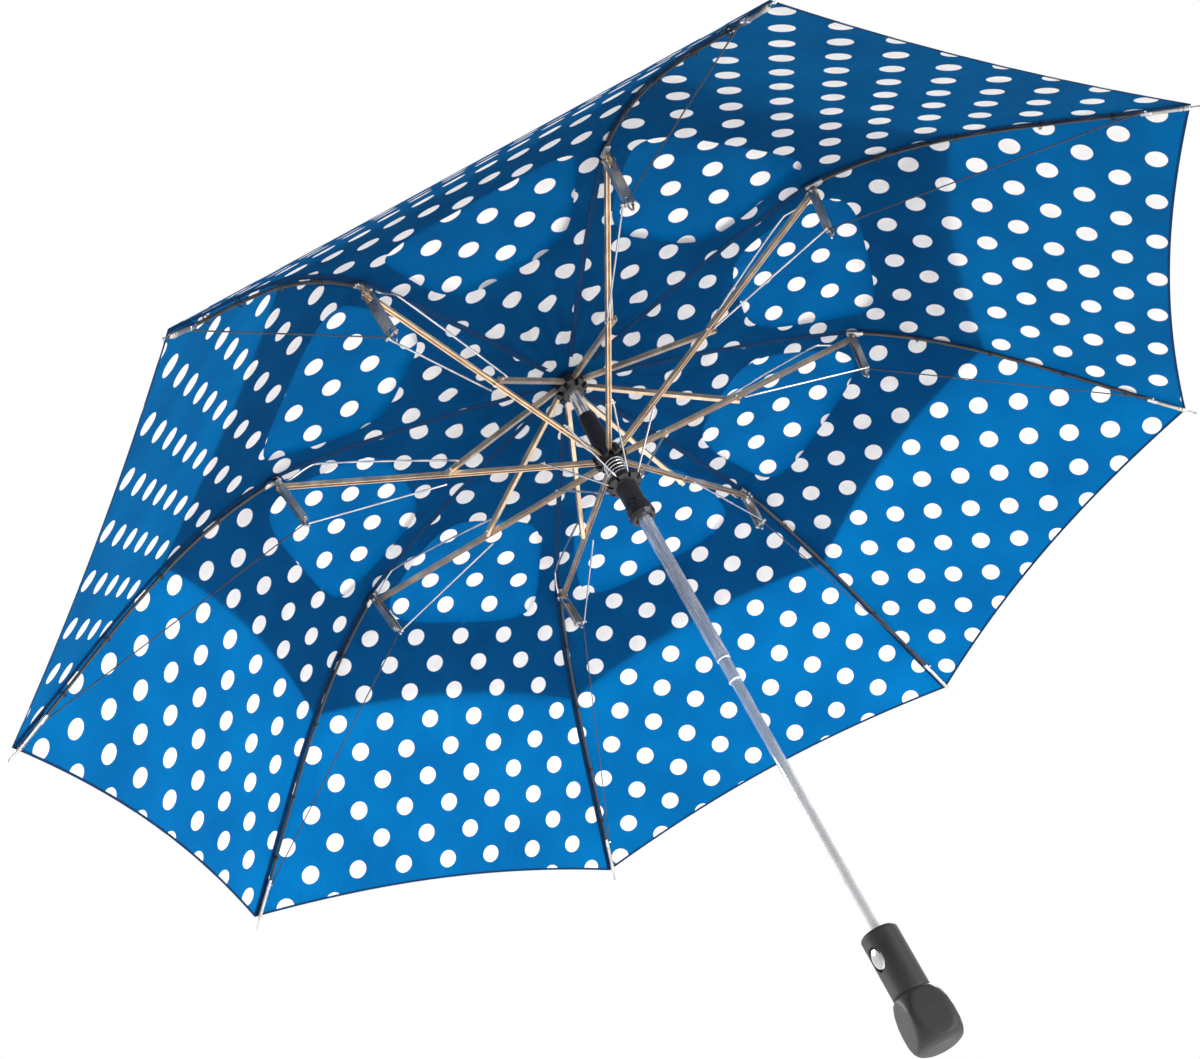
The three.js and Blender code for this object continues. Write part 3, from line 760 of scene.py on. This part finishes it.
def rib_rod(arm):
    """The dark bowed rod, and the steel sleeve and ear at its root."""
    shares = np.linspace(-5 * MM / ROD_LENGTH, 1.0, 40)
    curve = above_rod(shares, 0.0)
    rod = Solid()
    radii = np.linspace(ROD_RADIUS, ROD_END_RADIUS, len(curve))
    rod.tube([in_arm(p, ROD_SIDE) for p in curve], radii, 12)
    body = f"outer_rib_{arm + 1}"
    settle(rod.piece(f"rib_rod_{arm + 1}", arm, "fibreglass"), body, "fibreglass", body)
    along = np.array([math.cos(ROD_ANGLE), math.sin(ROD_ANGLE)])
    root = Solid()
    root.plate(ELBOW, ROD_START, 5.0 * MM, (0.0, 1.0 * MM))
    root.tube([in_arm(ROD_START + s * MM * along, ROD_SIDE) for s in (-5, -4.6, 9.6, 10)],
              [1.7 * MM, 2.0 * MM, 2.0 * MM, 1.7 * MM], 12, rounded=False)
    root.plate(ROD_START - 3 * MM * along, ROD_START + 7 * MM * along, 2.6 * MM, (ROD_SIDE, 1.0 * MM))
    settle(root.piece(f"rib_root_{arm + 1}", arm, "steel"), body, "steel")


def rib_tip(arm):
    """The sleeve with its two crimps, and the bright pin, at the end of a rib."""
    ends = above_rod(np.array([0.9, 0.905, 0.99, 1.0]), 0.0)
    sleeve = Solid()
    sleeve.tube([in_arm(p, ROD_SIDE) for p in ends], [1.3 * MM, 1.75 * MM, 1.75 * MM, 1.5 * MM], 12)
    out = (TIP - ends[2]) / np.linalg.norm(TIP - ends[2])
    for distance in (3.0, 6.0):
        at = in_arm(TIP - out * distance * MM, ROD_SIDE)
        step = in_arm(out, 0.0) * 0.5 * MM
        sleeve.tube([at - step, at + step], 1.95 * MM, 12)
    settle(sleeve.piece(f"tip_sleeve_{arm + 1}", arm, "steel"), f"outer_rib_{arm + 1}", "steel")
    pin = Solid()
    reach = [TIP + out * distance * MM for distance in (0.2, 5.5, 7.5, 8.6, 9.6)]
    pin.tube([in_arm(p, ROD_SIDE) for p in reach], np.array([0.8, 0.8, 0.85, 1.15, 0.9]) * MM, 12)
    settle(pin.piece(f"tip_pin_{arm + 1}", arm, "bright_wire"), f"outer_rib_{arm + 1}", "bright_wire")


def bow_wire(arm):
    """The thin dark wire from the lever's foot to a clamp near the tip."""
    clamp = above_rod(CLAMP_SHARE, 0.0)
    foot = in_arm(FOOT + np.array([0.6, -0.4]) * MM, BOW_WIRE_SIDE)
    end = in_arm(clamp, ROD_SIDE - 3.0 * MM)
    wire = Solid()
    wire.tube([foot + (end - foot) * t for t in np.linspace(0, 1, 12)], BOW_WIRE_RADIUS, 8)
    piece = wire.piece(f"bow_wire_{arm + 1}", arm, "fibreglass")
    settle(piece, f"outer_rib_{arm + 1}", "fibreglass")
    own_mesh(piece)
    band = Solid()
    band_ends = above_rod(np.array([CLAMP_SHARE - 0.012, CLAMP_SHARE + 0.012]), 0.0)
    band.tube([in_arm(p, ROD_SIDE) for p in band_ends], 2.1 * MM, 12)
    band.tube([in_arm(clamp, ROD_SIDE), end + np.array([0, -0.6 * MM, 0])], 0.9 * MM, 8)
    band_piece = band.piece(f"wire_clamp_{arm + 1}", arm, "bright_wire")
    settle(band_piece, f"outer_rib_{arm + 1}", "bright_wire")


def thread_ties(arm):
    """Turns of thread that hold the cloth down to the rod."""
    ties = Solid()
    for share in TIE_SHARES:
        for turn in (-0.7, 0.0, 0.7):
            at = share + turn * MM / ROD_LENGTH
            place = above_rod(at, 0.0)
            lift = above_rod(at, CLEARANCE) - place
            loop = []
            for angle in np.linspace(0, 2 * math.pi, 13)[:-1]:
                up = 0.42 * (1 + math.cos(angle)) - 0.48 * (1 - math.cos(angle))
                loop.append(in_arm(place + lift * up, ROD_SIDE + 1.75 * MM * math.sin(angle)))
            ties.tube(loop + loop[:1], THREAD_RADIUS, 6, rounded=False)
    piece = ties.piece(f"thread_ties_{arm + 1}", arm, "fibreglass")
    settle(piece, f"outer_rib_{arm + 1}", "fibreglass")


def link_rod(arm):
    """The bright link from the lever's foot back towards the crossing, with an eye at the foot."""
    rod = Solid()
    rod.tube(smooth_path([
        in_arm(FOOT, -5.4 * MM),
        in_arm(FOOT + np.array([-1.2, 0.0]) * MM, LINK_SIDE),
        in_arm(FOOT + np.array([-30, 0.7]) * MM, LINK_SIDE),
        in_arm(FOOT + LINK_REACH, LINK_SIDE),
    ]), LINK_RADIUS, 10)
    body = f"link_rod_{arm + 1}"
    settle(rod.piece(f"link_wire_{arm + 1}", arm, "bright_wire"), body, "bright_wire", body)


def assist_wire(arm):
    """The thin bright wire from the collar to the stretcher, hooked at its outer end."""
    wire = Solid()
    along = (HOOK - RUNNER) / np.linalg.norm(HOOK - RUNNER)
    wire.tube(smooth_path([
        in_arm(COLLAR, WIRE_SIDE),
        in_arm(COLLAR + 0.6 * (HOOK - COLLAR), WIRE_SIDE),
        in_arm(HOOK, WIRE_SIDE),
        in_arm(HOOK + along * 2.2 * MM + np.array([0.0, 1.2]) * MM, 0.9 * MM),
    ]), LINK_RADIUS, 10)
    body = f"assist_wire_{arm + 1}"
    settle(wire.piece(f"collar_wire_{arm + 1}", arm, "bright_wire"), body, "bright_wire", body)


def upper_link(arm):
    """The bent bright wire above the stretcher, from the inner rib's end to the bowed rib's root."""
    wire = Solid()
    start = CROSS + np.array([-8.0, 5.5]) * MM
    wire.tube(smooth_path([
        in_arm(start, 4.3 * MM),
        in_arm(start + np.array([4.0, 1.8]) * MM, UPPER_LINK_SIDE),
        in_arm((0.170, 0.5785), UPPER_LINK_SIDE),
        in_arm((0.218, 0.5925), UPPER_LINK_SIDE),
        in_arm((0.230, 0.5928), UPPER_LINK_SIDE),
        in_arm((0.246, 0.5860), UPPER_LINK_SIDE - 0.6 * MM),
        in_arm((0.250, 0.5872), 3.2 * MM),
    ]), UPPER_LINK_RADIUS, 10)
    piece = wire.piece(f"upper_link_{arm + 1}", arm, "bright_wire")
    settle(piece, f"inner_rib_{arm + 1}", "bright_wire")


def rivets(arm):
    """Rivets through the arm's pivots. Lanes, (low y, high y), and radii are in millimetres."""
    for name, point, lane, radius, body in (
        ("cross", CROSS, (-4.4, 4.4), 1.5, "stretcher"),
        ("elbow", ELBOW, (-5.7, 3.0), 1.5, "stretcher"),
        ("foot", FOOT, (-7.5, 3.0), 1.3, "elbow_lever"),
        ("hook", HOOK, (-4.3, 3.2), 0.9, "stretcher"),
    ):
        low, high = (y * MM for y in lane)
        rivet = Solid()
        rivet.tube([in_arm(point, low + 0.4 * MM), in_arm(point, high - 0.4 * MM)], 0.7 * radius * MM, 12)
        half_head = np.array([0, 0.25 * MM, 0])
        for y in (low, high):
            head = in_arm(point, y)
            rivet.tube([head - half_head, head + half_head], radius * MM, 14)
        settle(rivet.piece(f"{name}_rivet_{arm + 1}", arm, "steel"), f"{body}_{arm + 1}", "steel")


def lever_loop(arm):
    """The bright loop at the foot of the elbow lever."""
    down = (FOOT - ELBOW) / np.linalg.norm(FOOT - ELBOW)
    loop = Solid()
    loop.tube(smooth_path([
        in_arm(FOOT - down * 4 * MM, -2.9 * MM),
        in_arm(FOOT + down * 3 * MM, -2.9 * MM),
        in_arm(FOOT + down * 6.5 * MM, -1.35 * MM),
        in_arm(FOOT + down * 3 * MM, 0.2 * MM),
        in_arm(FOOT - down * 4 * MM, 0.2 * MM),
    ]), LOOP_RADIUS, 10)
    piece = loop.piece(f"lever_loop_{arm + 1}", arm, "bright_wire")
    settle(piece, f"elbow_lever_{arm + 1}", "bright_wire")


def build_arms():
    for arm in range(ARMS):
        rib_rod(arm)
        rib_tip(arm)
        bow_wire(arm)
        thread_ties(arm)
        link_rod(arm)
        assist_wire(arm)
        upper_link(arm)
        rivets(arm)
        lever_loop(arm)


# ---- Shaft, hub and handle ----


def runner_coil():
    """The bright return spring on the runner, with closed end turns."""
    turns = 5.0
    low = 504.6 * MM
    high = 521.4 * MM
    radius = 8.2 * MM
    closed = 0.09
    path = []
    for share in np.linspace(-closed, 1 + closed, 190):
        angle = 2 * math.pi * turns * share
        height = low + (high - low) * min(max(share, 0.0), 1.0)
        path.append((radius * math.cos(angle), radius * math.sin(angle), height))
    coil = Solid()
    coil.tube(path, COIL_WIRE_RADIUS, 10)
    piece = coil.piece("spring_coil", 0, "spring_steel")
    settle(piece, "runner", "spring_steel", "runner_spring")
    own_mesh(piece)


# The grip's profile, in millimetres: the bulb, a groove, and the neck.
GRIP_HEIGHTS = [0, 0.4, 1.8, 5, 10.5, 18, 25, 31.5, 36.4, 37.2, 37.25, 38.0, 38.05, 38.6, 82.4, 83.4, 84]
GRIP_RADII = [
    11.6, 13.4, 16.3, 18.5, 20.1, 20.6, 20.1, 18.2, 15.5, 14.2, 12.9, 12.9, 13.1, 13.4, 13.4, 12.9, 12.0
]
BULB_SMOOTH_TOP = 36
BULB_TOP = 37.2
BULB_MIDDLE = 18
FLAT_REACH = 16
FLAT_TAPER = 0.06
# How crisply the flats meet the bulb, and the radius about which the two are blended.
FLAT_SHARPNESS = 1.6
FLAT_BASE = 14


def grip_radius(height, angle):
    """The grip's outside, in millimetres: a turned neck and bulb with four flat ovals on the bulb."""
    if height < BULB_SMOOTH_TOP:
        nearby = np.linspace(height - 0.6, height + 0.6, 5)
        radius = float(np.mean(np.interp(nearby, GRIP_HEIGHTS, GRIP_RADII)))
    else:
        radius = float(np.interp(height, GRIP_HEIGHTS, GRIP_RADII))
    if height > BULB_TOP:
        return radius
    flat = FLAT_REACH - FLAT_TAPER * (height - BULB_MIDDLE)
    total = math.exp(-FLAT_SHARPNESS * (radius - FLAT_BASE))
    for side in range(4):
        facing = math.cos(angle - side * math.pi / 2)
        if facing > 0.3:
            total += math.exp(-FLAT_SHARPNESS * (flat / facing - FLAT_BASE))
    return FLAT_BASE - math.log(total) / FLAT_SHARPNESS


def handle():
    """The soft-touch grip: outer skin, rolled top, socket, and the oval well round the button."""
    segments = 160
    heights = np.concatenate([
        np.linspace(0, BULB_TOP, 60),
        [37.25, 38.0, 38.05, 38.6],
        np.linspace(40, 82.4, 40),
        [83.0, 83.4, 83.8, 84],
    ])
    base_rings = (4.0, 8.0, 10.6)
    rim_and_socket = ((10.5, 84.0), (7.2, 84.0), (6.6, 83.6), (6.3, 82.8), (6.3, 64.0), (4.6, 64.0))
    turn = np.linspace(0, 2 * math.pi, segments, endpoint=False)
    points = [(0.0, 0.0, 0.0)]
    rings = 0
    for inner in base_rings:
        points += [(inner * math.cos(a), inner * math.sin(a), 0.0) for a in turn]
        rings += 1
    for height in heights:
        for a in turn:
            r = grip_radius(height, a)
            points.append((r * math.cos(a), r * math.sin(a), height))
        rings += 1
    for r, height in rim_and_socket:
        points += [(r * math.cos(a), r * math.sin(a), height) for a in turn]
        rings += 1
    faces = [(0, 1 + (j + 1) % segments, 1 + j) for j in range(segments)]
    for i in range(rings - 1):
        for j in range(segments):
            k = (j + 1) % segments
            a = 1 + i * segments
            faces.append((a + j, a + k, a + segments + k, a + segments + j))
    last = 1 + (rings - 1) * segments
    faces.append(tuple(last + j for j in range(segments)))
    piece = make_piece("grip", np.array(points) * MM, faces, "soft_touch")
    cut_button_well(piece)
    settle(sharpen(piece, 40.0), "handle", "soft_touch", "handle_grip")


def cut_button_well(piece):
    """Cuts the oval well out of the grip, with a rolled rim."""
    low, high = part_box("push_button")
    centre = (low + high) / 2
    facing = math.atan2(centre.y, centre.x)
    outline = np.linspace(0, 2 * math.pi, 48, endpoint=False)
    half_width = 6.2 * MM
    half_height = 8.3 * MM
    points = []
    # Each ring: how far out it lies, in millimetres, and how much wider it is than the well.
    for reach, grow in ((7.8, 1.0), (12.5, 1.0), (13.0, 1.05), (14.2, 1.2)):
        for a in outline:
            side = half_width * grow * math.cos(a)
            up = half_height * grow * math.sin(a)
            x = reach * MM * math.cos(facing) - side * math.sin(facing)
            y = reach * MM * math.sin(facing) + side * math.cos(facing)
            points.append((x, y, centre.z + up))
    count = len(outline)
    faces = [tuple(range(count - 1, -1, -1)), tuple(range(3 * count, 4 * count))]
    for i in range(3):
        for j in range(count):
            k = (j + 1) % count
            faces.append((i * count + j, i * count + k, (i + 1) * count + k, (i + 1) * count + j))
    cutter = make_piece("well_cutter", points, faces, "soft_touch")
    modifier = piece.modifiers.new("well", "BOOLEAN")
    modifier.operation = "DIFFERENCE"
    modifier.solver = "EXACT"
    modifier.object = cutter
    evaluated = piece.evaluated_get(bpy.context.evaluated_depsgraph_get())
    cut = bpy.data.meshes.new_from_object(evaluated)
    piece.modifiers.clear()
    piece.data = cut
    bpy.data.objects.remove(cutter)


CAD_LOOKS = {
    "push_button": "button_chrome",
    "lower_tube": "chrome",
    "tube_ferrule": "chrome",
    "top_tube": "chrome",
    "top_notch": "black_plastic",
    "top_cap": "black_plastic",
    "runner": "black_plastic",
    "assist_collar": "smoke_plastic",
}


def dress_frame():
    """Gives the CAD nodes that stay in view their finish."""
    looks = dict(CAD_LOOKS)
    for arm in range(1, ARMS + 1):
        looks[f"inner_rib_{arm}"] = "bronze_steel"
        looks[f"stretcher_{arm}"] = "bronze_steel"
        looks[f"elbow_lever_{arm}"] = "steel"
    for name, look in looks.items():
        node = frame["nodes"][name]
        node.data.materials.clear()
        node.data.materials.append(MATERIALS[look])
        node.data.shade_smooth()
        node.data.set_sharp_from_angle(angle=math.radians(28))


# ---- Stage ----


def area_light(name, place, size, power):
    """A square light of a size in metres and a power in watts, aimed at the umbrella's middle."""
    data = bpy.data.lights.new(name, "AREA")
    data.shape = "SQUARE"
    data.size = size
    data.energy = power
    light = bpy.data.objects.new(name, data)
    light.location = place
    aim = Vector((0.0, 0.0, 0.5)) - Vector(place)
    light.rotation_euler = aim.to_track_quat("-Z", "Y").to_euler()
    bpy.context.scene.collection.objects.link(light)


def build_stage():
    """The floor, the lights, and a sky that is plain white to the camera and brighter on the far side."""
    n = Nodes("studio_floor")
    where = n.add("ShaderNodeTexCoord").outputs["Object"]
    tone = n.ramp(n.noise(where, 6.0), [(0.3, (0.86,) * 3), (0.7, (0.9,) * 3)])
    n.link(tone, n.shader.inputs["Base Color"])
    n.set(Roughness=0.8)
    half = 6.0
    level = -0.62
    corners = [(-half, -half, level), (half, -half, level), (half, half, level), (-half, half, level)]
    mesh = bpy.data.meshes.new("floor")
    mesh.from_pydata(corners, [], [(0, 1, 2, 3)])
    mesh.materials.append(n.material)
    floor = bpy.data.objects.new("floor", mesh)
    bpy.context.scene.collection.objects.link(floor)

    world = bpy.data.worlds.new("studio")
    world.use_nodes = True
    tree = world.node_tree
    background = tree.nodes["Background"]
    background.inputs["Color"].default_value = (1.0, 1.0, 1.0, 1.0)
    where = tree.nodes.new("ShaderNodeTexCoord")
    parts = tree.nodes.new("ShaderNodeSeparateXYZ")
    glow = tree.nodes.new("ShaderNodeMapRange")
    glow.inputs["From Min"].default_value = -1.0
    glow.inputs["To Min"].default_value = 1.3
    glow.inputs["To Max"].default_value = 0.4
    tree.links.new(where.outputs["Generated"], parts.inputs[0])
    tree.links.new(parts.outputs["X"], glow.inputs["Value"])
    tree.links.new(glow.outputs[0], background.inputs["Strength"])
    seen = tree.nodes.new("ShaderNodeBackground")
    seen.inputs["Color"].default_value = (1.0, 1.0, 1.0, 1.0)
    seen.inputs["Strength"].default_value = 1.0
    rays = tree.nodes.new("ShaderNodeLightPath")
    both = tree.nodes.new("ShaderNodeMixShader")
    tree.links.new(rays.outputs["Is Camera Ray"], both.inputs[0])
    tree.links.new(background.outputs[0], both.inputs[1])
    tree.links.new(seen.outputs[0], both.inputs[2])
    tree.links.new(both.outputs[0], tree.nodes["World Output"].inputs["Surface"])
    bpy.context.scene.world = world

    area_light("far_right", (-0.84, 0.99, 1.2), 0.7, 46.0)
    area_light("far_left", (-0.69, -1.10, 1.2), 0.7, 46.0)
    area_light("front", (1.3, 1.3, -0.25), 1.4, 38.0)
    bpy.context.scene.view_settings.view_transform = "Standard"


# The camera that was fitted to the eight tips, the hub, the runner and the handle's end.
CAMERA_PLACE = (1.026, -0.4559, -0.2883)
CAMERA_RIGHT = (0.08486, 0.91503, -0.39435)
CAMERA_FORWARD = (-0.76655, 0.3128, 0.56085)
CAMERA_LENS = 51.79


def build_camera():
    """The photo's view, from below and in front, rolled so that the shaft slants across the frame."""
    data = bpy.data.cameras.new("camera")
    data.sensor_width = 36.0
    data.lens = CAMERA_LENS
    data.clip_start = 0.05
    camera = bpy.data.objects.new("camera", data)
    right = Vector(CAMERA_RIGHT)
    forward = Vector(CAMERA_FORWARD)
    up = right.cross(forward).normalized()
    right = forward.cross(up).normalized()
    back = -forward.normalized()
    turn = Matrix((right, up, back)).transposed().to_4x4()
    camera.matrix_world = Matrix.Translation(CAMERA_PLACE) @ turn
    bpy.context.scene.collection.objects.link(camera)
    bpy.context.scene.camera = camera


build_camera()
build_stage()
dress_frame()
build_canopy()
build_arms()
runner_coil()
handle()
